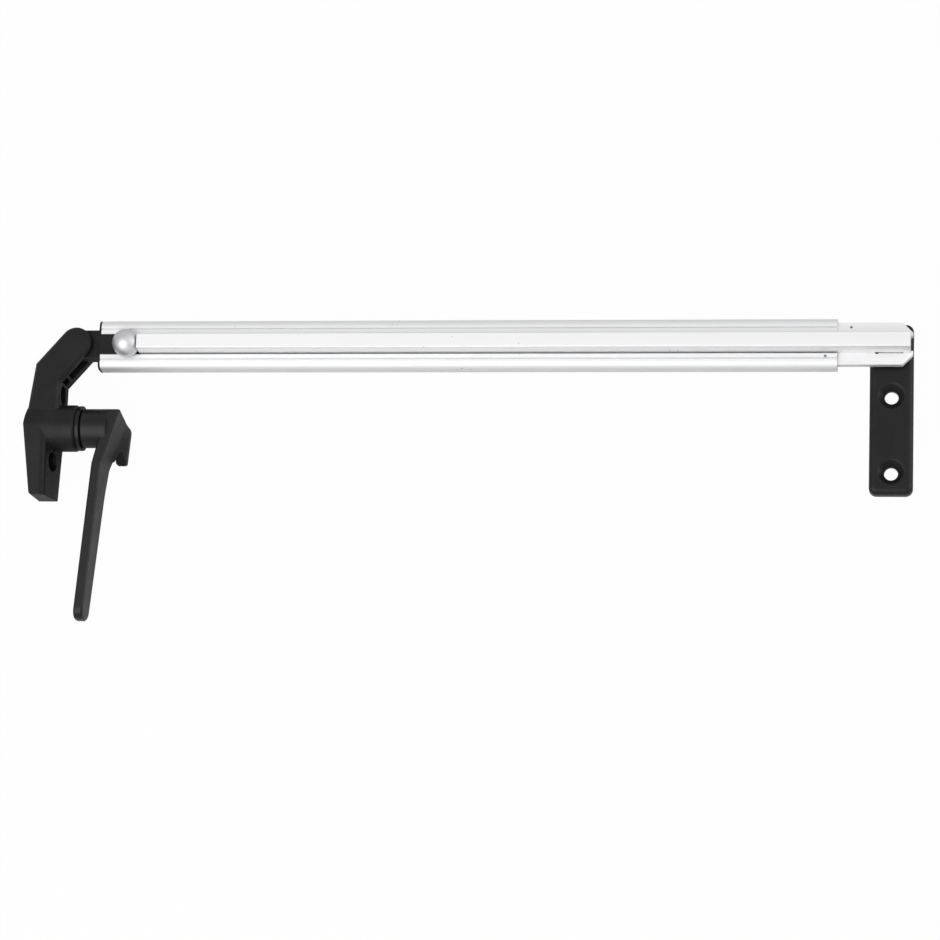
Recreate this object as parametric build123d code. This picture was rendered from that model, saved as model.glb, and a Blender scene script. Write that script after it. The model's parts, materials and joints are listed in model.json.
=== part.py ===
from build123d import *
import math
import os

# Telescopic flap stay. X runs along the bars, Y up the frame bracket, Z out of its screw face.
# The origin is midway between the two frame screw holes, on the face that meets the frame.

# Clearances
run_clear = 0.05          # turning fit, on the radius
thread_clear = 0.02       # screwed or pressed fit, on the radius
slide_clear = 0.2         # inner bar in the channel, front and back
side_clear = 0.15         # inner bar in the channel, each side
free_gap = 0.3            # parts that pass each other without touching

# Frame bracket
hole_pitch = 25.0
hole_d = 4.5
sink_d = 8.6
plate_w = 14.0
plate_t = 4.5
plate_edge = 1.8
corner_more = 0.6         # corner radius beyond the edge rounding
pivot_y = 28.6            # pivot above the middle of the screw holes
plate_over = 7.8          # plate beyond the pivot
plate_under = 7.1         # plate beyond the lower hole

# Frame pivot
pivot_d = 4.0
pivot_head_d = 7.6
pivot_head_t = 1.6
pivot_thread = 6.0
pivot_key = 2.4           # hexagon in its head, corner to corner
pivot_key_depth = 0.8
bush_wall = 1.2
bush_flange_d = 10.4
washer_t = 0.4
washer_d = 8.8
head_sink = 0.4           # screw head below the mounting face

# Outer bar, a C-channel
outer_len = 242.3
outer_start = 17.2        # from the frame pivot to the mouth
outer_w = 16.6
outer_h = 5.6
outer_wall = 1.2
outer_back = 1.1
outer_lip = 1.2
outer_round = 2.4
under_bar = 0.7           # channel above the bracket plate
slot_w = 7.0
groove_at = 5.1           # fine line on each lip, from the axis
groove_w = 0.4
groove_depth = 0.25

# Inner bar, a T-section
bar_over = 6.9            # bar beyond the frame pivot
rib_root = 6.2
rib_tip = 4.9
rib_proud = 5.0           # rib above the lips
rib_edge = 0.4
end_notch = 0.8           # cut across the end, as wide as the rib's tip
rib_near = 4.15           # end of the rib from the axis of the ball
end_cut = 3.4
tail_t = 1.0
tail_clear = 0.4
lance_from = -4.6         # slit along the foot of the rib
lance_to = 3.5
lance_up = 0.4            # from the foot of the rib into its side
lance_w = 0.5
lance_depth = 0.6
lance_hole_d = 1.4
lance_end_d = 0.85
dimple_d = 0.9
dimple_depth = 0.8
inner_dimple_x = -12.8
inner_dimple_side = 5.4
outer_dimple_in = 3.8     # from the mouth
outer_dimple_side = 4.4

# Ball knob and brake
knob_d = 9.3
knob_cut = 0.9            # centre of the ball above its flat
knob_bore = 3.4
press_travel = 0.5
stem_d = 4.0
stem_in = 3.5             # stem from the end of the tail
spring_t = 0.3
spring_w = 9.0
spring_rise = 0.5
shoe_play = 0.03          # shoe below the lips

# End plug
plug_depth = 5.2
plug_clear = 0.1
plug_flange = 0.7
tongue_t = 5.0
tongue_r = 4.8
tongue_reach = 7.9        # end of the channel to the flap pivot
plug_pin_d = 2.2

# Flap bracket
flap_pin_d = 4.0
arm_r = 5.15
cheek_t = 3.0
fork_side = 0.2           # fork clear of the channel, each side
fork_floor = 5.7          # from the pivot along the arm
arm_edge = 1.0
boss_drop = 28.0          # from the flap pivot down to the boss axis
back_reach = 15.45        # from the flap pivot to the ridge of the back
back_angle = 6.9
upper_t = 11.0            # ridge of the back to the front, above the boss
lower_t = 9.9             # the same below the boss, at the far side
lower_draft = 9.3         # lean of the front below the boss
lower_end_w = 11.8        # width at the lower end
spine_rise = 0.8          # upper end of the spine, above the arm
spine_drop = 2.2          # front corner of the spine, below its back corner
base_round = 2.2
base_above = 20.8         # base above and below the boss axis
base_below = 23.4
base_corner = 0.9
arm_foot = 14.8           # inner corner of the arm above the boss axis
boss_d = 15.4
boss_len = 17.25
boss_edge = 1.0
flap_hole_d = 4.4
flap_sink_d = 6.6
flap_sink = 3.6
sink_beside = 0.2         # between the boss and each counterbore
pocket_depth = 3.4        # pockets on the inner side of the arm
pocket_len = 4.0
pocket_rib = 1.0
pocket_wall = 1.2

# Catch lever
shaft_d = 12.9
shaft_edge = 0.4
spigot_d = 8.0
seal_t = 1.2
seal_inset = 0.3
lever_reach = 14.4        # front of the boss to the tip of the head
hub_in = 4.3              # end of the shaft behind that tip
head_top = 5.35           # above the shaft axis
head_t = 4.5
head_lean = 16.9
bend_drop = 12.6
bend_round = 7.0
handle_t = 3.15
handle_lean = 3.9
handle_len = 64.2
handle_near = 5.3
near_taper = 0.5
tip_far = 4.5
tip_round = 3.6
lever_edge = 0.5
shoulder_up = 2.2         # far corner of the head
shoulder_far = 14.6
shoulder_round = 1.5
twist_from = 7.8          # the head turns square between these two, into the finger
twist_to = 12.0
finger_t = 3.6
finger_ahead = 0.5        # front of the finger before the head's
finger_drop = 9.6
finger_w = 1.6
finger_round = 0.7
finger_end = 1.0          # rounding of its tip, front and back
notch_drop = 4.2
notch_far = 9.0
notch_round = 1.0
flare_drop = 9.5          # far edge of the handle, from the notch to the waist
flare_far = 8.2
flare_round = 5.0
waist_drop = 22.0
waist_far = 5.9
waist_round = 40.0
boss_bush_wall = 1.0
lever_screw_d = 4.0
lever_screw_head_d = 7.4
lever_screw_head_t = 1.8
lever_screw_len = 9.0
screw_slot_w = 1.0
screw_slot_depth = 0.9
lever_washer_t = 0.8
lever_washer_d = 11.0
wave_t = 0.9
back_bore_clear = 0.5
spigot_stop = 4.0         # end of the spigot inside the back of the boss

# Levels above the mounting face
outer_z0 = plate_t + under_bar
outer_z1 = outer_z0 + outer_h
cavity_z0 = outer_z0 + outer_back
cavity_z1 = outer_z1 - outer_lip
flange_z0 = cavity_z0 + slide_clear
flange_z1 = cavity_z1 - slide_clear
rib_z1 = outer_z1 + rib_proud
mid_z = (outer_z0 + outer_z1) / 2
tail_z1 = flange_z0 + tail_t
shoe_z0 = tail_z1 + spring_t + spring_rise
shoe_z1 = cavity_z1 - shoe_play
knob_z0 = outer_z1 + press_travel + free_gap

# Widths across the bars
cavity_w = outer_w - 2 * outer_wall
flange_w = cavity_w - 2 * side_clear

# Places along the bars
mouth_x = -outer_start
outer_end = mouth_x - outer_len
tail_x = outer_end + plug_depth + tail_clear
stem_x = tail_x + stem_in
rib_x = stem_x + rib_near
flap_x = outer_end - tongue_reach
back_x = flap_x - back_reach
upper_x = back_x + upper_t
lower_x = back_x + lower_t
boss_x = back_x + boss_len
shaft_x = boss_x + seal_t + run_clear
boss_y = pivot_y - boss_drop
flap_hole_pitch = boss_d + flap_sink_d + 2 * sink_beside
tip_x = boss_x + lever_reach
arm_half = outer_h / 2 + fork_side + cheek_t
back_slope = math.tan(math.radians(back_angle))
head_slope = math.tan(math.radians(head_lean))
handle_slope = math.tan(math.radians(handle_lean))


def bar_box(x0, x1, width, z0, z1):
    """Block along the bars, centred on their axis."""
    return Pos((x0 + x1) / 2, pivot_y, (z0 + z1) / 2) * Box(x1 - x0, width, z1 - z0)


def rod_z(x, y, diameter, z0, z1):
    """Round rod along Z."""
    return Pos(x, y, (z0 + z1) / 2) * Cylinder(diameter / 2, z1 - z0)


def rod_x(y, z, diameter, x0, x1):
    """Round rod along X."""
    return Pos((x0 + x1) / 2, y, z) * Rot(0, 90, 0) * Cylinder(diameter / 2, x1 - x0)


def ring_x(outer_d, inner_d, x0, x1):
    """Ring round the lever's axis."""
    return rod_x(boss_y, mid_z, outer_d, x0, x1) - rod_x(boss_y, mid_z, inner_d, x0, x1)


def along_x(section, x0, x1):
    """Section drawn in Y and Z, drawn out along X."""
    return extrude(Plane.YZ.offset(x0) * section, x1 - x0, dir=(1, 0, 0))


def across_z(outline, z0, z1):
    """Outline drawn in X and Y, drawn out along Z."""
    return extrude(Pos(0, 0, z0) * outline, z1 - z0, dir=(0, 0, 1))


def frame_bracket():
    length = plate_over + pivot_y + hole_pitch / 2 + plate_under
    middle = pivot_y + plate_over - length / 2
    outline = RectangleRounded(plate_w, length, plate_edge + corner_more)
    plate = Pos(0, middle, 0) * extrude(outline, plate_t)
    plate = fillet(plate.faces().sort_by(Axis.Z)[-1].edges(), plate_edge)
    sink_depth = (sink_d - hole_d) / 2
    for side in (-1, 1):
        y = side * hole_pitch / 2
        plate -= rod_z(0, y, hole_d, 0, plate_t)
        plate -= Pos(0, y, plate_t - sink_depth / 2) * Cone(hole_d / 2, sink_d / 2, sink_depth)
    plate -= rod_z(0, pivot_y, pivot_d + 2 * bush_wall, 0, plate_t)
    plate -= rod_z(0, pivot_y, washer_d + 2 * free_gap, 0, pivot_pocket())
    return plate


def pivot_pocket():
    """Depth of the pocket in the mounting face that hides the screw head."""
    return head_sink + pivot_head_t + washer_t + run_clear


def pivot_bush():
    bush = rod_z(0, pivot_y, pivot_d + 2 * bush_wall, pivot_pocket(), plate_t)
    bush += rod_z(0, pivot_y, bush_flange_d, plate_t, flange_z0 - run_clear)
    return bush - rod_z(0, pivot_y, pivot_d + 2 * run_clear, 0, flange_z0)


def pivot_washer():
    z0 = head_sink + pivot_head_t
    washer = rod_z(0, pivot_y, washer_d, z0, z0 + washer_t)
    return washer - rod_z(0, pivot_y, pivot_d + 2 * thread_clear, z0, z0 + washer_t)


def pivot_screw():
    tip = flange_z0 + pivot_thread
    screw = rod_z(0, pivot_y, pivot_head_d, head_sink, head_sink + pivot_head_t)
    screw += rod_z(0, pivot_y, pivot_d, head_sink, tip)
    socket = extrude(RegularPolygon(pivot_key / 2, 6), pivot_key_depth)
    return screw - Pos(0, pivot_y, head_sink) * socket


def inner_section():
    """Flat flange with a tapering rib on its front."""
    rib = Polygon(
        (-rib_root / 2, flange_z1), (rib_root / 2, flange_z1),
        (rib_tip / 2, rib_z1), (-rib_tip / 2, rib_z1), align=None)
    rib = fillet(rib.vertices().group_by(Axis.Y)[-1], rib_edge)
    flange = Pos(0, (flange_z0 + flange_z1) / 2) * Rectangle(flange_w, flange_z1 - flange_z0)
    return Pos(pivot_y, 0) * (flange + rib)


def lance():
    """Slit with a small hole at each end, along the foot of the rib."""
    y = pivot_y - rib_root / 2 + lance_up
    middle = (lance_from + lance_to) / 2
    slit = Pos(middle, y, flange_z1) * Box(lance_to - lance_from, lance_w, 2 * lance_depth)
    for x, diameter in ((lance_from, lance_hole_d), (lance_to, lance_end_d)):
        slit += rod_z(x, y, diameter, flange_z1 - lance_depth, flange_z1 + lance_depth)
    return slit


def inner_bar():
    bar = along_x(inner_section(), rib_x, bar_over)
    plan = Pos((rib_x + bar_over) / 2, pivot_y) * Rectangle(bar_over - rib_x, flange_w)
    plan = chamfer(plan.vertices().group_by(Axis.X)[-1], end_cut)
    bar &= across_z(plan, flange_z0, rib_z1)
    bar -= bar_box(bar_over - end_notch, bar_over, rib_tip, flange_z0, rib_z1)
    bar -= bar_box(bar_over - end_notch, bar_over, rib_root, flange_z1, rib_z1)
    bar -= ball_room()
    tail = bar_box(tail_x, rib_x, flange_w, flange_z0, tail_z1)
    tail -= rod_z(stem_x, pivot_y, stem_d + 2 * run_clear, flange_z0, tail_z1)
    bar += tail
    bar -= rod_z(0, pivot_y, pivot_d + 2 * thread_clear, flange_z0, flange_z0 + pivot_thread + free_gap)
    bar -= lance()
    dimple_y = pivot_y + inner_dimple_side
    bar -= rod_z(inner_dimple_x, dimple_y, dimple_d, flange_z1 - dimple_depth, flange_z1)
    return bar


def ball_room():
    """Hollow in the end of the rib that clears the ball, up and pressed."""
    up = Pos(stem_x, pivot_y, knob_z0 + knob_cut) * Sphere(knob_d / 2 + free_gap)
    return up + Pos(0, 0, -press_travel) * up


def brake_spring():
    """Bowed leaf that lies on the tail and lifts the shoe."""
    x0 = tail_x + free_gap
    x1 = rib_x - 2 * free_gap
    middle = (x0 + x1) / 2
    under = ThreePointArc((x0, tail_z1), (middle, tail_z1 + spring_rise - shoe_play), (x1, tail_z1))
    top = ThreePointArc(
        (x0, tail_z1 + spring_t), (middle, shoe_z0 - shoe_play), (x1, tail_z1 + spring_t))
    ends = [Line((x, tail_z1), (x, tail_z1 + spring_t)) for x in (x0, x1)]
    strip = Plane.XZ.offset(-pivot_y) * make_face([under, top] + ends)
    leaf = extrude(strip, spring_w / 2, both=True)
    return leaf - rod_z(stem_x, pivot_y, stem_d + 2 * free_gap, tail_z1, shoe_z0)


def brake_shoe():
    right = rib_x - free_gap
    shoe = bar_box(tail_x, right, flange_w, shoe_z0, shoe_z1)
    shoe += bar_box(tail_x, right, slot_w - 2 * free_gap, shoe_z1, outer_z1 - free_gap)
    return shoe - rod_z(stem_x, pivot_y, stem_d + 2 * thread_clear, shoe_z0, outer_z1)


def knob_stem():
    foot = cavity_z0 + press_travel + slide_clear
    return rod_z(stem_x, pivot_y, stem_d, foot, knob_z0 + knob_bore)


def ball_knob():
    ball = Pos(stem_x, pivot_y, knob_z0 + knob_cut) * Sphere(knob_d / 2)
    ball -= bar_box(stem_x - knob_d, stem_x + knob_d, 2 * knob_d, knob_z0 - knob_d, knob_z0)
    bore_end = knob_z0 + knob_bore + thread_clear
    return ball - rod_z(stem_x, pivot_y, stem_d + 2 * thread_clear, knob_z0, bore_end)


def outer_outline():
    """Outside of the channel, flat behind and rounded in front."""
    block = Pos(0, mid_z) * Rectangle(outer_w, outer_h)
    return fillet(block.vertices().group_by(Axis.Y)[-1], outer_round)


def outer_bar():
    section = outer_outline()
    section -= Pos(0, (cavity_z0 + cavity_z1) / 2) * Rectangle(cavity_w, cavity_z1 - cavity_z0)
    section -= Pos(0, (cavity_z1 + outer_z1) / 2) * Rectangle(slot_w, outer_lip)
    for side in (-1, 1):
        section -= Pos(side * groove_at, outer_z1) * Rectangle(groove_w, 2 * groove_depth)
    bar = along_x(Pos(pivot_y, 0) * section, outer_end, mouth_x)
    bar -= rod_z(plug_pin_x(), pivot_y, plug_pin_d, outer_z0, cavity_z0)
    dimple = (mouth_x - outer_dimple_in, pivot_y - outer_dimple_side)
    return bar - rod_z(*dimple, dimple_d, outer_z1 - dimple_depth, outer_z1)


def plug_pin_x():
    return outer_end + plug_depth / 2


def plug_pin():
    return rod_z(plug_pin_x(), pivot_y, plug_pin_d, outer_z0, mid_z)


def end_plug():
    inside = outer_end + plug_depth
    height = (cavity_z0 + plug_clear, cavity_z1 - plug_clear)
    plug = bar_box(outer_end, inside, cavity_w - 2 * plug_clear, *height)
    plug += bar_box(outer_end, inside, slot_w - 2 * plug_clear, mid_z, outer_z1 - plug_clear)
    plug += along_x(Pos(pivot_y, 0) * outer_outline(), outer_end - plug_flange, outer_end)
    tongue = (mid_z - tongue_t / 2, mid_z + tongue_t / 2)
    plug += bar_box(flap_x, outer_end, 2 * tongue_r, *tongue)
    plug += rod_z(flap_x, pivot_y, 2 * tongue_r, *tongue)
    plug -= rod_z(flap_x, pivot_y, flap_pin_d + 2 * run_clear, outer_z0, outer_z1)
    return plug - rod_z(plug_pin_x(), pivot_y, plug_pin_d, outer_z0, mid_z)


def tangent_point(x, y, side):
    """Where a line from (x, y) touches the round end of the arm, on its left (1) or right (-1)."""
    reach = math.hypot(flap_x - x, pivot_y - y)
    heading = math.atan2(pivot_y - y, flap_x - x) + side * math.asin(arm_r / reach)
    length = math.sqrt(reach ** 2 - arm_r ** 2)
    return x + length * math.cos(heading), y + length * math.sin(heading)


def back_edge(y):
    """X of the shallow V back at a height."""
    return back_x + abs(y - boss_y) * back_slope


def arm_corners():
    top = boss_y + base_above
    outer = (back_edge(top), top)
    inner = (upper_x, boss_y + arm_foot)
    return outer, inner


def arm_angle():
    """Direction of the arm from the pivot to its foot, in degrees."""
    _, inner = arm_corners()
    touch = tangent_point(*inner, -1)
    return math.degrees(math.atan2(inner[1] - touch[1], inner[0] - touch[0]))


def arm_block():
    """Slanted arm with a round end, both cheeks and the web, and its foot down to the boss."""
    outer, inner = arm_corners()
    left = tangent_point(*outer, 1)
    right = tangent_point(*inner, -1)
    away = math.radians(arm_angle())
    crown = (flap_x - arm_r * math.cos(away), pivot_y - arm_r * math.sin(away))
    front = (upper_x, boss_y)
    ridge = (back_x, boss_y)
    rim = [Line(outer, left), ThreePointArc(left, crown, right), Line(right, inner)]
    rim += [Line(inner, front), Line(front, ridge), Line(ridge, outer)]
    arm = across_z(make_face(rim), mid_z - arm_half, mid_z + arm_half)
    near = arm.faces().sort_by(Axis.Z)[-1]
    return chamfer(near.edges(), arm_edge)


def spine():
    """Raised side of the base above the boss, highest at the boss."""
    outer, _ = arm_corners()
    top = outer[1]
    section = Polygon(
        (boss_y, mid_z), (top, mid_z), (top, mid_z + arm_half + spine_rise),
        (boss_y, mid_z + boss_d / 2), align=None)
    block = along_x(section, back_x, upper_x)
    front = block.faces().filter_by(Axis.X).sort_by(Axis.X)[-1]
    block = fillet(front.edges().sort_by(Axis.Z)[-1], base_round)
    corner = (upper_x, top - spine_drop)
    outline = Polygon(outer, corner, (upper_x, boss_y), (back_x, boss_y), align=None)
    outline = fillet(outline.vertices().sort_by_distance((*corner, 0))[0], base_round)
    return block & across_z(outline, mid_z, mid_z + boss_d)


def lower_base():
    """Base below the boss, narrower towards its end, with a drafted front."""
    bottom = boss_y - base_below
    wide = boss_d / 2
    narrow = lower_end_w / 2
    section = Polygon(
        (boss_y, mid_z - wide), (boss_y, mid_z + wide), (bottom, mid_z + narrow),
        (bottom, mid_z - narrow), align=None)
    block = along_x(section, back_x, lower_x)
    lean = boss_d * math.tan(math.radians(lower_draft))
    side = Polygon(
        (back_x, mid_z - wide), (lower_x, mid_z - wide), (lower_x - lean, mid_z + wide),
        (back_x, mid_z + wide), align=None)
    block &= extrude(Plane.XZ.offset(-boss_y) * side, base_below, dir=(0, -1, 0))
    front = block.faces().sort_by(Axis.X)[-1]
    block = fillet(front.edges().sort_by(Axis.Z)[-1], base_round)
    outline = Polygon(
        (back_x, boss_y), (back_edge(bottom), bottom), (lower_x, bottom), (lower_x, boss_y), align=None)
    outline = fillet(outline.vertices().group_by(Axis.Y)[0], base_corner)
    return block & across_z(outline, mid_z - boss_d, mid_z + boss_d)


def boss_block():
    boss = rod_x(boss_y, mid_z, boss_d, back_x, boss_x)
    rim = boss.edges().sort_by(Axis.X)[-1]
    boss = chamfer(rim, boss_edge)
    reach = boss_d
    keep = Polygon(
        (back_x, boss_y), (back_edge(boss_y + reach), boss_y + reach), (boss_x, boss_y + reach),
        (boss_x, boss_y - reach), (back_edge(boss_y - reach), boss_y - reach), align=None)
    return boss & across_z(keep, mid_z - reach, mid_z + reach)


def fork_cut():
    """Slot for the tongue, and two pockets that run on along the inner side of the arm."""
    gap = outer_h + 2 * fork_side
    reach = 2 * arm_r
    place = Pos(flap_x, pivot_y, mid_z) * Rot(0, 0, arm_angle())
    cut = Pos((fork_floor - reach) / 2, 0, 0) * Box(fork_floor + reach, 2 * reach, gap)
    _, inner = arm_corners()
    foot = math.hypot(flap_x - inner[0], pivot_y - inner[1]) - pocket_wall
    rib_at = fork_floor + pocket_len
    for start, end in ((fork_floor, rib_at), (rib_at + pocket_rib, foot)):
        cut += Pos((start + end) / 2, arm_r, 0) * Box(end - start, 2 * pocket_depth, outer_h)
    return place * cut


def flap_bracket():
    bracket = arm_block() + spine() + lower_base() + boss_block()
    bracket -= fork_cut()
    bracket -= rod_z(flap_x, pivot_y, flap_pin_d, *hinge_span())
    for side, front in ((1, upper_x), (-1, lower_x)):
        y = boss_y + side * flap_hole_pitch / 2
        bracket -= rod_x(y, mid_z, flap_hole_d, back_x, front)
        bracket -= rod_x(y, mid_z, flap_sink_d, lower_x - flap_sink, boss_x)
    bracket -= rod_x(boss_y, mid_z, spigot_d + 2 * boss_bush_wall, back_x, boss_x)
    bracket -= rod_x(boss_y, mid_z, back_bore_d(), back_x, boss_floor())
    return bracket


def hinge_span():
    """The hinge pin starts flush on the back cheek and ends blind in the front one."""
    return mid_z - arm_half, mid_z + arm_half - cheek_t / 2


def hinge_pin():
    return rod_z(flap_x, pivot_y, flap_pin_d, *hinge_span())


def back_bore_d():
    return lever_washer_d + 2 * back_bore_clear


def spigot_end():
    return back_x + spigot_stop


def boss_floor():
    """Floor of the pocket in the back of the boss, where the wave washer bears."""
    return spigot_end() + wave_t


def boss_bush():
    outside = spigot_d + 2 * boss_bush_wall
    return ring_x(outside, spigot_d + 2 * run_clear, boss_floor(), boss_x)


def seal_ring():
    return ring_x(boss_d - 2 * seal_inset, spigot_d + 2 * free_gap, boss_x, boss_x + seal_t)


def wave_washer():
    return ring_x(lever_washer_d, spigot_d + 2 * free_gap, spigot_end(), boss_floor() - run_clear)


def lever_washer():
    bore = lever_screw_d + 2 * thread_clear
    return ring_x(lever_washer_d, bore, spigot_end() - lever_washer_t, spigot_end())


def lever_screw():
    under = spigot_end() - lever_washer_t
    head = rod_x(boss_y, mid_z, lever_screw_head_d, under - lever_screw_head_t, under)
    screw = head + rod_x(boss_y, mid_z, lever_screw_d, under, under + lever_screw_len)
    slot = Pos(under - lever_screw_head_t, boss_y, mid_z)
    return screw - slot * Box(2 * screw_slot_depth, lever_screw_head_d, screw_slot_w)


def head_front(up):
    """X of the leaning front of the head, at a height above the shaft axis."""
    return tip_x - (head_top - up) * head_slope


def finger_front(up):
    """X of the front of the finger, which stands square to the shaft."""
    return head_front(shoulder_up) + finger_ahead - (shoulder_up - up) * handle_slope


def lever_profile():
    """Side view of the blade: a leaning head, a bend and a straight handle."""
    bend_x = head_front(-bend_drop)
    end_x = bend_x - (handle_len - bend_drop) * handle_slope
    bend_y = boss_y - bend_drop
    top = boss_y + head_top
    end_y = boss_y - handle_len
    outline = Polygon(
        (tip_x, top), (bend_x, bend_y), (end_x, end_y), (end_x - handle_t, end_y),
        (bend_x - handle_t, bend_y), (tip_x - head_t, top), align=None)
    bends = outline.vertices().sort_by(lambda v: abs(v.Y - bend_y))[:2]
    return fillet(bends, bend_round)


def head_slice(front, thickness):
    """Slice across the head from its top to the tip of the finger, behind a front line."""
    rows = (head_top, -finger_drop)
    face = [(front(up), boss_y + up) for up in rows]
    back = [(front(up) - thickness, boss_y + up) for up in reversed(rows)]
    return Polygon(*face, *back, align=None)


def finger_block():
    """Far end of the head, which turns square to the shaft and ends in the finger."""
    leaning = Pos(0, 0, mid_z - twist_from) * head_slice(head_front, head_t)
    square = head_slice(finger_front, finger_t)
    turn = loft([leaning, Pos(0, 0, mid_z - twist_to) * square], ruled=True)
    tip = fillet(square.vertices().group_by(Axis.Y)[0], finger_end)
    return turn + across_z(tip, mid_z - shoulder_far, mid_z - twist_to)


def lever_face():
    """Front view of the blade: head with the catch finger on its far side, notch and handle."""
    tip = boss_y - handle_len
    shoulder = (boss_y + shoulder_up, mid_z - shoulder_far)
    finger_out = (boss_y - finger_drop, mid_z - shoulder_far)
    finger_in = (boss_y - finger_drop, mid_z - shoulder_far + finger_w)
    notch = (boss_y - notch_drop, mid_z - notch_far)
    flare = (boss_y - flare_drop, mid_z - flare_far)
    waist = (boss_y - waist_drop, mid_z - waist_far)
    far_end = (tip, mid_z - tip_far)
    near_end = (tip, mid_z + handle_near - near_taper)
    outline = Polygon(
        (boss_y + head_top, mid_z + handle_near), shoulder, finger_out, finger_in, notch, flare, waist,
        far_end, near_end, align=None)
    rounds = (
        (shoulder, shoulder_round), (finger_out, finger_round), (finger_in, finger_round),
        (notch, notch_round), (flare, flare_round), (waist, waist_round), (far_end, tip_round),
        (near_end, tip_round))
    for corner, radius in rounds:
        outline = fillet(outline.vertices().sort_by_distance((*corner, 0))[0], radius)
    return outline


def lever_blade():
    """Head and handle with broken edges, and the finger on the far side of the head."""
    face = along_x(lever_face(), back_x, tip_x)
    side = across_z(lever_profile(), mid_z - twist_from, mid_z + handle_near) & face
    near = side.faces().sort_by(Axis.Z)[-1]
    side = chamfer(near.edges().filter_by(Axis.X, reverse=True), lever_edge)
    return side + (finger_block() & face)


def catch_lever():
    shaft = rod_x(boss_y, mid_z, shaft_d, shaft_x, tip_x - hub_in)
    shaft = chamfer(shaft.edges().sort_by(Axis.X)[0], shaft_edge)
    shaft += rod_x(boss_y, mid_z, spigot_d, spigot_end(), shaft_x)
    lever = lever_blade() + shaft
    bore_end = spigot_end() - lever_washer_t + lever_screw_len + free_gap
    return lever - rod_x(boss_y, mid_z, lever_screw_d + 2 * thread_clear, spigot_end(), bore_end)


PIECES = {
    "frame_bracket": frame_bracket,
    "pivot_bush": pivot_bush,
    "pivot_washer": pivot_washer,
    "pivot_screw": pivot_screw,
    "inner_bar": inner_bar,
    "brake_spring": brake_spring,
    "brake_shoe": brake_shoe,
    "knob_stem": knob_stem,
    "ball_knob": ball_knob,
    "outer_bar": outer_bar,
    "end_plug": end_plug,
    "plug_pin": plug_pin,
    "flap_bracket": flap_bracket,
    "hinge_pin": hinge_pin,
    "boss_bush": boss_bush,
    "seal_ring": seal_ring,
    "catch_lever": catch_lever,
    "wave_washer": wave_washer,
    "lever_washer": lever_washer,
    "lever_screw": lever_screw,
}

os.makedirs("parts", exist_ok=True)
for name, make in PIECES.items():
    export_step(make(), f"parts/{name}.step")
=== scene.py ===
# %% [markdown]
# # A telescopic flap stay
# The stay is already modelled in CAD, piece by piece and at its real size. This lesson loads those
# pieces as a fixed frame, gives every one of them the finish that it has on the real product, and
# sets up the light and the camera. Nothing is moved: the look comes from shaders and light alone.

# %% Load the frame
import json
import math

import bpy
from mathutils import Matrix, Vector


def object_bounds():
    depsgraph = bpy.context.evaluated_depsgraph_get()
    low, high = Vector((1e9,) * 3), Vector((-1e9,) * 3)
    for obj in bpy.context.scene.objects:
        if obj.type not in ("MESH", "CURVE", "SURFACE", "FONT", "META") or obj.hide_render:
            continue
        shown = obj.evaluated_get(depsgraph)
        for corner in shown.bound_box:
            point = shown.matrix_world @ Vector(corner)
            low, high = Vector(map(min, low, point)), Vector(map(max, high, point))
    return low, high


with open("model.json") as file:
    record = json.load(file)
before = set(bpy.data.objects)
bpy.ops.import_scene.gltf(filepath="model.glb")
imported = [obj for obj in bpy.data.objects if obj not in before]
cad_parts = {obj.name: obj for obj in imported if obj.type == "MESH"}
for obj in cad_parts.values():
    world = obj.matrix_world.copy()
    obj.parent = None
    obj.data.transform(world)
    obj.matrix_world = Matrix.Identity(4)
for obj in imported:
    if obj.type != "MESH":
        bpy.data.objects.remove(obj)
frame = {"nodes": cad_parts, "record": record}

cad_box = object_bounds()
nodes = frame["nodes"]
print("pieces loaded:", len(nodes))

# %% [markdown]
# ## Small helpers for node trees
# Every finish below is a node tree, and all of them are built the same way: add a node, set a few of
# its inputs, link its outputs. A few short helpers keep that readable. The object's own coordinates
# are used everywhere, in metres, so a pattern sticks to its piece when the stay folds.

# %% Node helpers


def add_node(tree, kind, **settings):
    """Adds a node; settings name either its properties or its input sockets."""
    node = tree.nodes.new(kind)
    for name, value in settings.items():
        if hasattr(node, name):
            setattr(node, name, value)
        else:
            node.inputs[name.replace("_", " ")].default_value = value
    return node


def new_group(name, inputs, outputs):
    """An empty shader node group with named number inputs and outputs."""
    tree = bpy.data.node_groups.new(name, "ShaderNodeTree")
    for label, value in inputs.items():
        socket = tree.interface.new_socket(label, in_out="INPUT", socket_type="NodeSocketFloat")
        socket.default_value = value
    for label in outputs:
        tree.interface.new_socket(label, in_out="OUTPUT", socket_type="NodeSocketFloat")
    return tree, tree.nodes.new("NodeGroupInput"), tree.nodes.new("NodeGroupOutput")


def calculate(tree, operation, *values, **settings):
    """One Math node, whose values are sockets or plain numbers; gives its output socket."""
    node = add_node(tree, "ShaderNodeMath", operation=operation, **settings)
    for socket, value in zip(node.inputs, values):
        if isinstance(value, float):
            socket.default_value = value
        else:
            tree.links.new(value, socket)
    return node.outputs["Value"]


def add_up(tree, first, *others):
    """The sum of any number of sockets."""
    total = first
    for value in others:
        total = calculate(tree, "ADD", total, value)
    return total


def spread(tree, value, low, high, start=0.0, end=1.0):
    """Maps a value between start and end onto low to high, and gives the output socket."""
    node = add_node(tree, "ShaderNodeMapRange",
                    From_Min=start, From_Max=end, To_Min=low, To_Max=high)
    tree.links.new(value, node.inputs["Value"])
    return node.outputs["Result"]


print("helpers ready")

# %% [markdown]
# ## Moulded grain
# The black pieces are injection moulded in a tool with a fine spark-eroded texture, so they shine
# softly instead of like glass. An image of that grain would blur up close. Two noises, a fine one for
# the grain and a broad one for the slightly uneven gloss, hold at any distance.

# %% Moulded grain group


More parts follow.
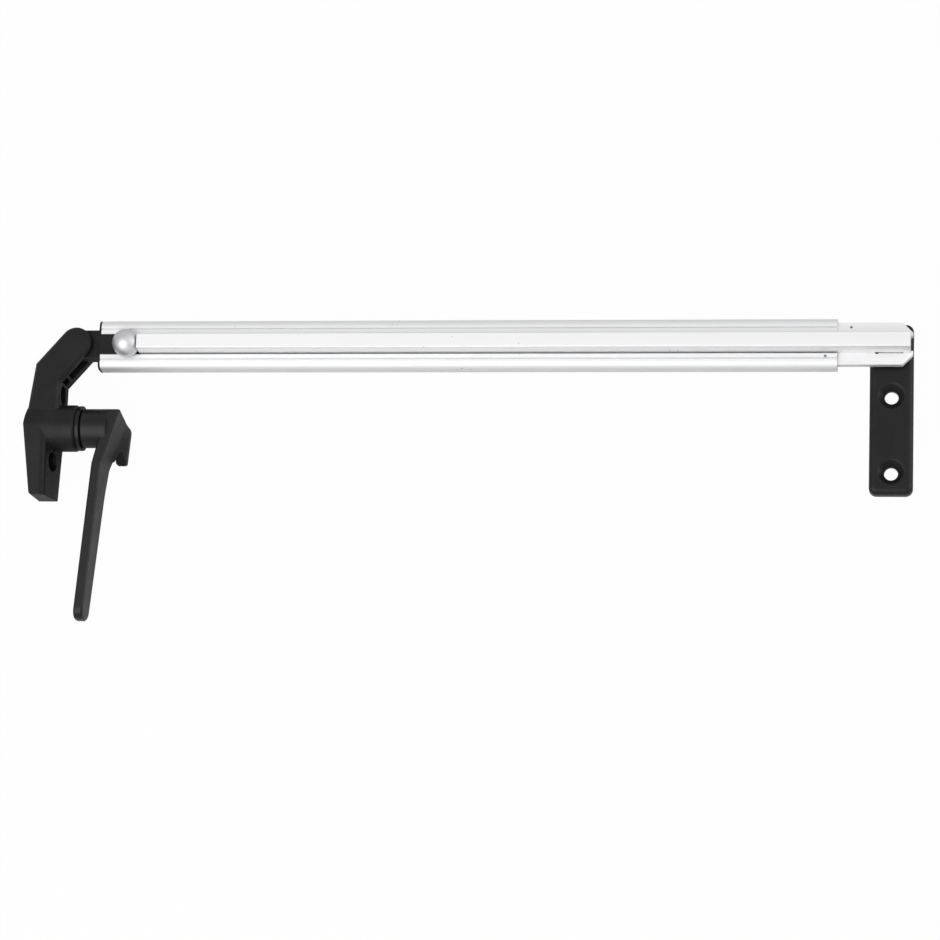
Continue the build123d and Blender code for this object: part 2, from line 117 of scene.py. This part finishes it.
def make_moulded_grain():
    tree, given, result = new_group(
        "moulded_grain", {"Grain Scale": 5000.0, "Cloud Scale": 120.0}, ("Height", "Cloud"))
    place = tree.nodes.new("ShaderNodeTexCoord")
    grain = add_node(tree, "ShaderNodeTexNoise", Detail=2.0, Roughness=0.6)
    cloud = add_node(tree, "ShaderNodeTexNoise", Detail=3.0, Roughness=0.55)
    for noise, label in ((grain, "Grain Scale"), (cloud, "Cloud Scale")):
        tree.links.new(place.outputs["Object"], noise.inputs["Vector"])
        tree.links.new(given.outputs[label], noise.inputs["Scale"])
    tree.links.new(grain.outputs["Fac"], result.inputs["Height"])
    tree.links.new(cloud.outputs["Fac"], result.inputs["Cloud"])
    return tree


moulded_grain = make_moulded_grain()
print("group:", moulded_grain.name)

# %% [markdown]
# ## Drawn lines
# An aluminium extrusion is pushed through a die, which leaves hair-fine lines along its whole length.
# The lines are a noise stretched along X: coarse along the bar, very fine across it. Steel rod and
# wire are drawn too, so the group is shared and each material gives its own scales.

# %% Drawn lines group


def make_drawn_lines():
    tree, given, result = new_group(
        "drawn_lines", {"Along": 6.0, "Across": 2600.0}, ("Height", "Streak"))
    place = tree.nodes.new("ShaderNodeTexCoord")
    stretch = tree.nodes.new("ShaderNodeCombineXYZ")
    for axis, label in (("X", "Along"), ("Y", "Across"), ("Z", "Across")):
        tree.links.new(given.outputs[label], stretch.inputs[axis])
    scaled = add_node(tree, "ShaderNodeVectorMath", operation="MULTIPLY")
    tree.links.new(place.outputs["Object"], scaled.inputs[0])
    tree.links.new(stretch.outputs["Vector"], scaled.inputs[1])
    fine = add_node(tree, "ShaderNodeTexNoise", Scale=1.0, Detail=3.0, Roughness=0.65)
    broad = add_node(tree, "ShaderNodeTexNoise", Scale=0.16, Detail=2.0, Roughness=0.5)
    for noise in (fine, broad):
        tree.links.new(scaled.outputs["Vector"], noise.inputs["Vector"])
    tree.links.new(fine.outputs["Fac"], result.inputs["Height"])
    tree.links.new(broad.outputs["Fac"], result.inputs["Streak"])
    return tree


drawn_lines = make_drawn_lines()
print("group:", drawn_lines.name)

# %% [markdown]
# ## Handling marks
# A part that has been picked up and packed has faint smears where the gloss changes. They are broad
# and barely there, so one group makes a soft mask. The metals let it touch their roughness only, and
# the plastics their tone as well.

# %% Handling marks group


def make_handling_marks():
    tree, given, result = new_group("handling_marks", {"Size": 45.0}, ("Smear",))
    place = tree.nodes.new("ShaderNodeTexCoord")
    noise = add_node(tree, "ShaderNodeTexNoise", Detail=4.0, Roughness=0.7, Distortion=1.2)
    tree.links.new(place.outputs["Object"], noise.inputs["Vector"])
    tree.links.new(given.outputs["Size"], noise.inputs["Scale"])
    smear = spread(tree, noise.outputs["Fac"], 0.0, 1.0, start=0.45, end=0.7)
    tree.links.new(smear, result.inputs["Smear"])
    return tree


handling_marks = make_handling_marks()
print("group:", handling_marks.name)

# %% [markdown]
# ## Dirt and painted shade in the crevices
# Grooves, slits and gaps are darker in the colour: partly drawing grease and dust, where no cloth
# reaches, and partly painted shade where the point is closed in. Ambient occlusion measures how closed
# in a point is. A noise breaks the mask up, so that a groove is not darkened by the same amount all
# along.

# %% Crevice dirt and painted shade group


def make_crevice_dirt_and_shade():
    tree, given, result = new_group(
        "crevice_dirt_and_shade", {"Reach": 0.001, "Patch Scale": 300.0}, ("Dirt_And_Shade",))
    place = tree.nodes.new("ShaderNodeTexCoord")
    closed = add_node(tree, "ShaderNodeAmbientOcclusion", samples=12)
    tree.links.new(given.outputs["Reach"], closed.inputs["Distance"])
    depth = spread(tree, closed.outputs["AO"], 0.0, 1.0, start=0.7, end=0.2)
    noise = add_node(tree, "ShaderNodeTexNoise", Detail=3.0, Roughness=0.6)
    tree.links.new(place.outputs["Object"], noise.inputs["Vector"])
    tree.links.new(given.outputs["Patch Scale"], noise.inputs["Scale"])
    patch = spread(tree, noise.outputs["Fac"], 0.55, 1.25)
    dirt_and_shade = calculate(tree, "MULTIPLY", depth, patch, use_clamp=True)
    tree.links.new(dirt_and_shade, result.inputs["Dirt_And_Shade"])
    return tree


crevice_dirt_and_shade = make_crevice_dirt_and_shade()
print("group:", crevice_dirt_and_shade.name)

# %% [markdown]
# ## Specks
# Bright extruded metal is never quite clean: chips from the saw and small pits show as single dark
# dots. Cells with a dot at each centre give them, and a broad noise leaves most of the cells empty.

# %% Specks group


def make_specks():
    tree, given, result = new_group(
        "specks", {"Cells": 420.0, "Dot": 0.07, "Sparse": 0.6}, ("Speck",))
    place = tree.nodes.new("ShaderNodeTexCoord")
    cells = tree.nodes.new("ShaderNodeTexVoronoi")
    fields = add_node(tree, "ShaderNodeTexNoise", Scale=90.0, Detail=1.0)
    tree.links.new(given.outputs["Cells"], cells.inputs["Scale"])
    for texture in (cells, fields):
        tree.links.new(place.outputs["Object"], texture.inputs["Vector"])
    dot = calculate(tree, "LESS_THAN", cells.outputs["Distance"], given.outputs["Dot"])
    field = calculate(tree, "GREATER_THAN", fields.outputs["Fac"], given.outputs["Sparse"])
    tree.links.new(calculate(tree, "MULTIPLY", dot, field), result.inputs["Speck"])
    return tree


specks = make_specks()
print("group:", specks.name)

# %% [markdown]
# ## Soft edges and a painted edge highlight
# Moulded edges are a little rounded. The Bevel node gives the normal that a rounded edge would have.
# Where that normal leaves the true one, the point is near an edge, so one group gives both the
# softened normal and a mask of the edges. The plastics paint their edges lighter with that mask, a
# painted highlight, and make them a little smoother.

# %% Soft edges and edge highlight group


def make_soft_edge_highlight():
    tree, given, result = new_group("soft_edge_highlight", {"Radius": 0.0004}, ("Edge",))
    tree.interface.new_socket("Normal", in_out="OUTPUT", socket_type="NodeSocketVector")
    true_face = tree.nodes.new("ShaderNodeNewGeometry")
    soft = add_node(tree, "ShaderNodeBevel", samples=8)
    tree.links.new(given.outputs["Radius"], soft.inputs["Radius"])
    match = add_node(tree, "ShaderNodeVectorMath", operation="DOT_PRODUCT")
    tree.links.new(true_face.outputs["Normal"], match.inputs[0])
    tree.links.new(soft.outputs["Normal"], match.inputs[1])
    edge = spread(tree, match.outputs["Value"], 0.0, 1.0, start=0.995, end=0.85)
    tree.links.new(edge, result.inputs["Edge"])
    tree.links.new(soft.outputs["Normal"], result.inputs["Normal"])
    return tree


soft_edge_highlight = make_soft_edge_highlight()
print("group:", soft_edge_highlight.name)

# %% [markdown]
# ## From groups to a finish
# Each material holds one Principled shader. The shared part of building one is: start the material,
# drop in the groups it needs, add their effects up, and feed colour, roughness and bump.

# %% Finish helpers


def start_finish(name):
    """A new material, with its node tree and its shader."""
    finish = bpy.data.materials.new(name)
    finish.use_nodes = True
    tree = finish.node_tree
    return finish, tree, tree.nodes["Principled BSDF"]


def use_group(tree, group, **values):
    """Drops a group into a tree and sets its inputs."""
    return add_node(tree, "ShaderNodeGroup", node_tree=group, **values)


def blend(tree, mask, below, above):
    """Lays a colour over another one, plain or from a socket, where the mask is."""
    mix = add_node(tree, "ShaderNodeMix", data_type="RGBA")
    lower, upper = [socket for socket in mix.inputs if socket.type == "RGBA"]
    if isinstance(below, tuple):
        lower.default_value = (*below, 1.0)
    else:
        tree.links.new(below, lower)
    upper.default_value = (*above, 1.0)
    tree.links.new(mask, mix.inputs["Factor"])
    return next(socket for socket in mix.outputs if socket.type == "RGBA")


def add_bump(tree, shader, height, distance, strength, normal=None):
    """Small bumps, on the true surface or on a softened normal."""
    bump = add_node(tree, "ShaderNodeBump", Distance=distance, Strength=strength)
    tree.links.new(height, bump.inputs["Height"])
    if normal:
        tree.links.new(normal, bump.inputs["Normal"])
    tree.links.new(bump.outputs["Normal"], shader.inputs["Normal"])


print("finish helpers ready")

# %% [markdown]
# ## Black moulded plastic
# Both brackets, the lever, the end plug and the brake shoe are glass-filled nylon: nearly black, with
# a satin sheen. Pure black would swallow the shapes, so the colour drifts between two dark greys and
# the grain breaks up the highlights, and the edges are painted lighter as a highlight. The lever is
# handled most and shines a little more than the brackets, and the plate of the frame bracket has the
# softest edges, with the widest painted edge highlight, so each has its own mix.

# %% Black moulded plastic


def make_moulded_plastic(name, dark, light, smear_and_edge_highlight, rough, shine, edge_radius):
    """Rough is a pair, low and high; the radius of the edges is in metres."""
    finish, tree, shader = start_finish(name)
    shader.inputs["Specular IOR Level"].default_value = shine
    grain = use_group(tree, moulded_grain, Grain_Scale=5200.0, Cloud_Scale=140.0)
    smear = use_group(tree, handling_marks, Size=60.0).outputs["Smear"]
    edges = use_group(tree, soft_edge_highlight, Radius=edge_radius)
    tone = blend(tree, grain.outputs["Cloud"], dark, light)
    tone = blend(tree, spread(tree, smear, 0.0, 0.6), tone, smear_and_edge_highlight)
    # Painted highlight: the edges are lighter in the colour.
    tone = blend(tree, edges.outputs["Edge"], tone, smear_and_edge_highlight)
    tree.links.new(tone, shader.inputs["Base Color"])
    base_rough = spread(tree, grain.outputs["Cloud"], *rough)
    smear_rough = spread(tree, smear, 0.0, -0.07)
    edge_rough = spread(tree, edges.outputs["Edge"], 0.0, -0.06)
    tree.links.new(add_up(tree, base_rough, smear_rough, edge_rough), shader.inputs["Roughness"])
    add_bump(tree, shader, grain.outputs["Height"], distance=0.00002, strength=0.5,
             normal=edges.outputs["Normal"])
    return finish


black_nylon = make_moulded_plastic(
    "black_nylon", dark=(0.007, 0.007, 0.0076), light=(0.012, 0.012, 0.0126),
    smear_and_edge_highlight=(0.019, 0.019, 0.0196), rough=(0.40, 0.50), shine=0.22, edge_radius=0.0005)
plate_nylon = make_moulded_plastic(
    "plate_nylon", dark=(0.006, 0.006, 0.0065), light=(0.010, 0.010, 0.0106),
    smear_and_edge_highlight=(0.018, 0.018, 0.0186), rough=(0.36, 0.46), shine=0.27, edge_radius=0.0010)
lever_nylon = make_moulded_plastic(
    "lever_nylon", dark=(0.005, 0.005, 0.0054), light=(0.009, 0.009, 0.0094),
    smear_and_edge_highlight=(0.013, 0.013, 0.0135), rough=(0.34, 0.44), shine=0.30, edge_radius=0.0005)
print("made:", black_nylon.name, plate_nylon.name, lever_nylon.name)

# %% [markdown]
# ## Bright aluminium
# The bars are extruded and left bright. Close to, the metal is a mass of lines along the bar, which
# blur reflections across it. The lines drive the roughness, the tone and a very shallow bump. Grooves
# are darkened by the crevice group, partly dirt and partly painted shade, and a few specks are left.

# %% Bright aluminium
groove_dirt_and_shade_grey = (0.62, 0.62, 0.625)
speck_grey = (0.10, 0.10, 0.10)


def make_bright_metal(name, dark, light, rough, along, across):
    """Rough is a pair, low and high; along and across are the scales of the lines."""
    finish, tree, shader = start_finish(name)
    shader.inputs["Metallic"].default_value = 1.0
    lines = use_group(tree, drawn_lines, Along=along, Across=across)
    smear = use_group(tree, handling_marks, Size=35.0).outputs["Smear"]
    dirt_and_shade = use_group(tree, crevice_dirt_and_shade, Reach=0.001).outputs["Dirt_And_Shade"]
    speck = use_group(tree, specks, Sparse=0.62).outputs["Speck"]
    tone = blend(tree, lines.outputs["Streak"], dark, light)
    # Grooves and gaps go grey: partly dirt, partly painted shade where they are closed in.
    tone = blend(tree, dirt_and_shade, tone, groove_dirt_and_shade_grey)
    tone = blend(tree, speck, tone, speck_grey)
    tree.links.new(tone, shader.inputs["Base Color"])
    base_rough = spread(tree, lines.outputs["Height"], *rough)
    smear_rough = spread(tree, smear, 0.0, 0.05)
    dirt_rough = spread(tree, dirt_and_shade, 0.0, 0.25)
    tree.links.new(add_up(tree, base_rough, smear_rough, dirt_rough), shader.inputs["Roughness"])
    add_bump(tree, shader, lines.outputs["Height"], distance=0.00001, strength=0.4)
    return finish


outer_metal = make_bright_metal(
    "outer_aluminium_bright", dark=(0.84, 0.845, 0.85), light=(0.91, 0.91, 0.915),
    rough=(0.56, 0.70), along=6.0, across=2600.0)
inner_metal = make_bright_metal(
    "inner_aluminium_bright", dark=(0.86, 0.86, 0.865), light=(0.93, 0.93, 0.935),
    rough=(0.54, 0.68), along=5.0, across=2900.0)
print("made:", outer_metal.name, inner_metal.name)

# %% [markdown]
# ## Painted shade in the slit
# Near the frame bracket the inner bar is slit along the foot of its rib, from a drilled hole to a
# smaller one. The slit is hair-fine, and what the eye finds is the shade in it and in the holes, which
# is painted here as a dark line and two dark dots. The group works in the bar's own coordinates: it
# keeps the points that lie within the two holes, and a thin line between them, and only at the height
# of the slit.

# %% Painted shade in the slit
large_hole = (-0.0046, 0.00074)
small_hole = (0.0035, 0.00046)
slit_across = 0.0259
slit_shade_black = (0.05, 0.05, 0.05)


def make_slit_shade(holes, across, hole_span, line_span):
    """Holes are places along the bar with radii, spans are middle and half height, in metres."""
    tree, _, result = new_group("slit_shade", {}, ("Painted_Shade",))
    place = tree.nodes.new("ShaderNodeTexCoord")
    axes = tree.nodes.new("ShaderNodeSeparateXYZ")
    tree.links.new(place.outputs["Object"], axes.inputs["Vector"])
    flat = tree.nodes.new("ShaderNodeCombineXYZ")
    for axis in ("X", "Y"):
        tree.links.new(axes.outputs[axis], flat.inputs[axis])

    def near(axis, middle, half):
        return calculate(tree, "COMPARE", axes.outputs[axis], middle, half)

    (first, widest), (last, _) = holes
    line = calculate(tree, "MULTIPLY", near("X", (first + last) / 2, abs(last - first) / 2),
                     near("Z", *line_span))
    painted_shade = calculate(tree, "MULTIPLY", line, near("Y", across, widest))
    for along, radius in holes:
        away = add_node(tree, "ShaderNodeVectorMath", operation="DISTANCE")
        tree.links.new(flat.outputs["Vector"], away.inputs[0])
        away.inputs[1].default_value = (along, across, 0.0)
        hole = calculate(tree, "LESS_THAN", away.outputs["Value"], radius)
        hole = calculate(tree, "MULTIPLY", hole, near("Z", *hole_span))
        painted_shade = add_up(tree, painted_shade, hole)
    tree.links.new(calculate(tree, "MINIMUM", painted_shade, 1.0), result.inputs["Painted_Shade"])
    return tree


slit_shade = make_slit_shade((large_hole, small_hole), slit_across,
                               hole_span=(0.0094, 0.0007), line_span=(0.00975, 0.00025))
# The slit's shade is painted into the inner bar's colour, a dark line and two dark dots.
inner_tree = inner_metal.node_tree
inner_colour = inner_tree.nodes["Principled BSDF"].inputs["Base Color"]
unshaded_colour = inner_colour.links[0].from_socket
slit_shade_mask = use_group(inner_tree, slit_shade).outputs["Painted_Shade"]
inner_tree.links.new(blend(inner_tree, slit_shade_mask, unshaded_colour, slit_shade_black), inner_colour)
print("group:", slit_shade.name)

# %% [markdown]
# ## Ball, steel, acetal and rubber
# The ball is tumbled and polished, so its marks run every way: the moulded grain group at a coarser
# scale serves. The crevice group darkens its rim next to the slot and the rib end, painted shade and a
# painted reflection of the dark gap. The hidden screws and pins are zinc-plated steel with drawn
# lines, the bushes are cream acetal and the seal ring is rubber.

# %% Remaining finishes


def make_ball_silver(dark, light, rim_shade, rough):
    finish, tree, shader = start_finish("ball_polished")
    shader.inputs["Metallic"].default_value = 1.0
    grain = use_group(tree, moulded_grain, Grain_Scale=2600.0, Cloud_Scale=420.0)
    dirt_and_shade = use_group(tree, crevice_dirt_and_shade, Reach=0.004).outputs["Dirt_And_Shade"]
    tone = blend(tree, grain.outputs["Cloud"], dark, light)
    # Painted shade and painted reflection of the dark gap on the rim next to the slot.
    tree.links.new(blend(tree, dirt_and_shade, tone, rim_shade), shader.inputs["Base Color"])
    tree.links.new(spread(tree, grain.outputs["Cloud"], *rough), shader.inputs["Roughness"])
    add_bump(tree, shader, grain.outputs["Height"], distance=0.00001, strength=0.25)
    return finish


ball_silver = make_ball_silver(dark=(0.61, 0.61, 0.63), light=(0.79, 0.79, 0.80),
                               rim_shade=(0.30, 0.30, 0.31), rough=(0.45, 0.53))
zinc_steel = make_bright_metal(
    "zinc_steel", dark=(0.50, 0.50, 0.52), light=(0.66, 0.66, 0.67),
    rough=(0.3, 0.45), along=900.0, across=2400.0)
cream_acetal = make_moulded_plastic(
    "cream_acetal", dark=(0.58, 0.57, 0.52), light=(0.66, 0.65, 0.60),
    smear_and_edge_highlight=(0.70, 0.69, 0.64), rough=(0.35, 0.45), shine=0.5, edge_radius=0.0002)
seal_rubber = make_moulded_plastic(
    "seal_rubber", dark=(0.004, 0.004, 0.004), light=(0.007, 0.007, 0.007),
    smear_and_edge_highlight=(0.010, 0.010, 0.010), rough=(0.32, 0.42), shine=0.3, edge_radius=0.0003)
print("made:", ball_silver.name, zinc_steel.name, cream_acetal.name, seal_rubber.name)

# %% [markdown]
# ## Dress the pieces
# Each CAD piece already names a material slot in the record. A small table from slot to finish dresses
# them all in one loop, so a new piece can't be forgotten. Only the frame bracket steps out of its
# slot, because its moulding is softer at the edges than the others.

# %% Give every piece its finish
finish_of_slot = {
    "black_plastic": black_nylon,
    "lever_plastic": lever_nylon,
    "inner_aluminium": inner_metal,
    "outer_aluminium": outer_metal,
    "ball_silver": ball_silver,
    "steel": zinc_steel,
    "bush_plastic": cream_acetal,
    "seal_rubber": seal_rubber,
}
slot_of_node = {part["node"]: part["material_slot"] for part in frame["record"]["subparts"]}
finish_of_node = {name: finish_of_slot[slot] for name, slot in slot_of_node.items()}
finish_of_node["frame_bracket"] = plate_nylon
for name, piece in nodes.items():
    for material_slot in piece.material_slots:
        material_slot.material = finish_of_node[name]
print("dressed:", len(nodes), "pieces")

# %% [markdown]
# ## Floor
# The stay lies on a white sweep. The camera sees it as plain white with a soft shadow, while the
# pieces are lit by it and mirror it as the pale grey cloth that it is.

# %% Floor
floor_gap = 0.0005
floor_reach = 3.0


def seen_directly(tree, rays):
    """1 for rays that come from the camera, straight or through clear pieces, and else 0."""
    return add_up(tree, rays.outputs["Is Camera Ray"], rays.outputs["Is Transmission Ray"])


def make_white_sweep(grey, rough, whiteness):
    finish, tree, shader = start_finish("white_sweep")
    shader.inputs["Base Color"].default_value = (grey, grey, grey, 1.0)
    shader.inputs["Roughness"].default_value = rough
    rays = tree.nodes.new("ShaderNodeLightPath")
    white = add_node(tree, "ShaderNodeEmission", Color=(1.0, 1.0, 1.0, 1.0), Strength=1.0)
    mix = tree.nodes.new("ShaderNodeMixShader")
    tree.links.new(spread(tree, seen_directly(tree, rays), 0.0, whiteness), mix.inputs["Fac"])
    tree.links.new(shader.outputs["BSDF"], mix.inputs[1])
    tree.links.new(white.outputs["Emission"], mix.inputs[2])
    tree.links.new(mix.outputs["Shader"], tree.nodes["Material Output"].inputs["Surface"])
    return finish


def make_floor(height, reach):
    mesh = bpy.data.meshes.new("floor")
    signs = ((-1, -1), (1, -1), (1, 1), (-1, 1))
    mesh.from_pydata([(x * reach, y * reach, height) for x, y in signs], [], [(0, 1, 2, 3)])
    floor = bpy.data.objects.new("floor", mesh)
    floor.data.materials.append(make_white_sweep(grey=0.72, rough=0.9, whiteness=0.98))
    bpy.context.scene.collection.objects.link(floor)


floor_height = cad_box[0][2] - floor_gap
make_floor(floor_height, floor_reach)
print("floor at", round(floor_height * 1000, 2), "mm")

# %% [markdown]
# ## World
# Round the sweep hangs a tent of white cloth, and the camera sees it as plain white too. Metal mirrors
# it as it really is: even overhead, bright at the back and at the right, dim at the left and where it
# is open for the photographer. That difference is what draws the round edges of the bars.

# %% World
tent_overhead = 0.70
tent_front_back = (0.64, 0.78)
tent_left_right = (0.7, 1.2)
tent_lights = 0.6


def make_tent():
    world = bpy.data.worlds.new("studio")
    bpy.context.scene.world = world
    world.use_nodes = True
    sky = world.node_tree
    background = sky.nodes["Background"]
    background.inputs["Color"].default_value = (1.0, 1.0, 1.0, 1.0)
    place = sky.nodes.new("ShaderNodeTexCoord")
    toward = sky.nodes.new("ShaderNodeSeparateXYZ")
    sky.links.new(place.outputs["Generated"], toward.inputs["Vector"])
    front_back = spread(sky, toward.outputs["Y"], *tent_front_back, start=-1.0, end=1.0)
    left_right = spread(sky, toward.outputs["X"], *tent_left_right, start=-1.0, end=1.0)
    dome = add_node(sky, "ShaderNodeMapRange", interpolation_type="SMOOTHSTEP",
                    From_Min=0.1, From_Max=0.95, To_Max=tent_overhead)
    sky.links.new(toward.outputs["Z"], dome.inputs["Value"])
    sky.links.new(calculate(sky, "MULTIPLY", front_back, left_right), dome.inputs["To Min"])
    rays = sky.nodes.new("ShaderNodeLightPath")
    share = spread(sky, rays.outputs["Is Diffuse Ray"], 1.0, tent_lights)
    level = add_node(sky, "ShaderNodeMix", data_type="FLOAT", B=1.0)
    sky.links.new(seen_directly(sky, rays), level.inputs["Factor"])
    sky.links.new(calculate(sky, "MULTIPLY", dome.outputs["Result"], share), level.inputs["A"])
    sky.links.new(level.outputs["Result"], background.inputs["Strength"])
    return world


print("world:", make_tent().name)

# %% [markdown]
# ## Lamps
# The ball shows where the lamps were: a broad bright patch at its lower left and a weaker one at its
# upper right. Two soft boxes stand there, the first one large and strong. A third light, a pale wall
# at the right, lights the lever's front face, which looks away from both. Large lamps give long, soft
# gradients instead of hard glints.

# %% Lamps
stay_middle = (Vector(cad_box[0]) + Vector(cad_box[1])) / 2


def add_lamp(name, away, size, power):
    """A round lamp, placed from the middle of the stay and aimed at it."""
    light = bpy.data.lights.new(name, "AREA")
    light.shape = "DISK"
    light.size = size
    light.energy = power
    lamp = bpy.data.objects.new(name, light)
    lamp.location = stay_middle + Vector(away)
    lamp.rotation_euler = (-Vector(away)).to_track_quat("-Z", "Y").to_euler()
    bpy.context.scene.collection.objects.link(lamp)


add_lamp("soft_box_above", away=(-0.36, -0.40, 0.80), size=1.0, power=5.0)
add_lamp("soft_box_behind", away=(0.57, 0.42, 0.70), size=0.45, power=0.5)
add_lamp("light_wall_right", away=(1.70, 0.15, 0.44), size=0.85, power=4.5)
print("lamps aimed at", [round(v, 3) for v in stay_middle])

# %% [markdown]
# ## Camera
# The photograph was taken from above, a little to the right of the frame bracket and from below the
# bar, with a long lens. The camera therefore stands about a metre above the stay, aims at the middle
# of the picture, and is rolled two degrees so that the bars run level.

# %% Camera
camera_place = Vector((0.03058, -0.25484, 1.10157))
camera_aim = Vector((-0.1363, -0.0112, 0.0))
camera_roll = math.radians(2.03)
focal_pixels = 3500.0
picture_pixels = 940.0

lens = bpy.data.cameras.new("camera")
lens.sensor_width = 36.0
lens.lens = lens.sensor_width * focal_pixels / picture_pixels
camera = bpy.data.objects.new("camera", lens)
back = (camera_place - camera_aim).normalized()
right = Vector((0.0, 1.0, 0.0)).cross(back).normalized()
up = back.cross(right)
turn = Matrix((right, up, back)).transposed().to_4x4()
roll = Matrix.Rotation(camera_roll, 4, "Z")
camera.matrix_world = Matrix.Translation(camera_place) @ turn @ roll
bpy.context.scene.collection.objects.link(camera)
bpy.context.scene.camera = camera
print("lens:", round(lens.lens, 1), "mm")

# %% [markdown]
# ## Finish
# The colours are shown as they are written, with no film curve.

# %% Finish
bpy.context.scene.view_settings.view_transform = "Standard"
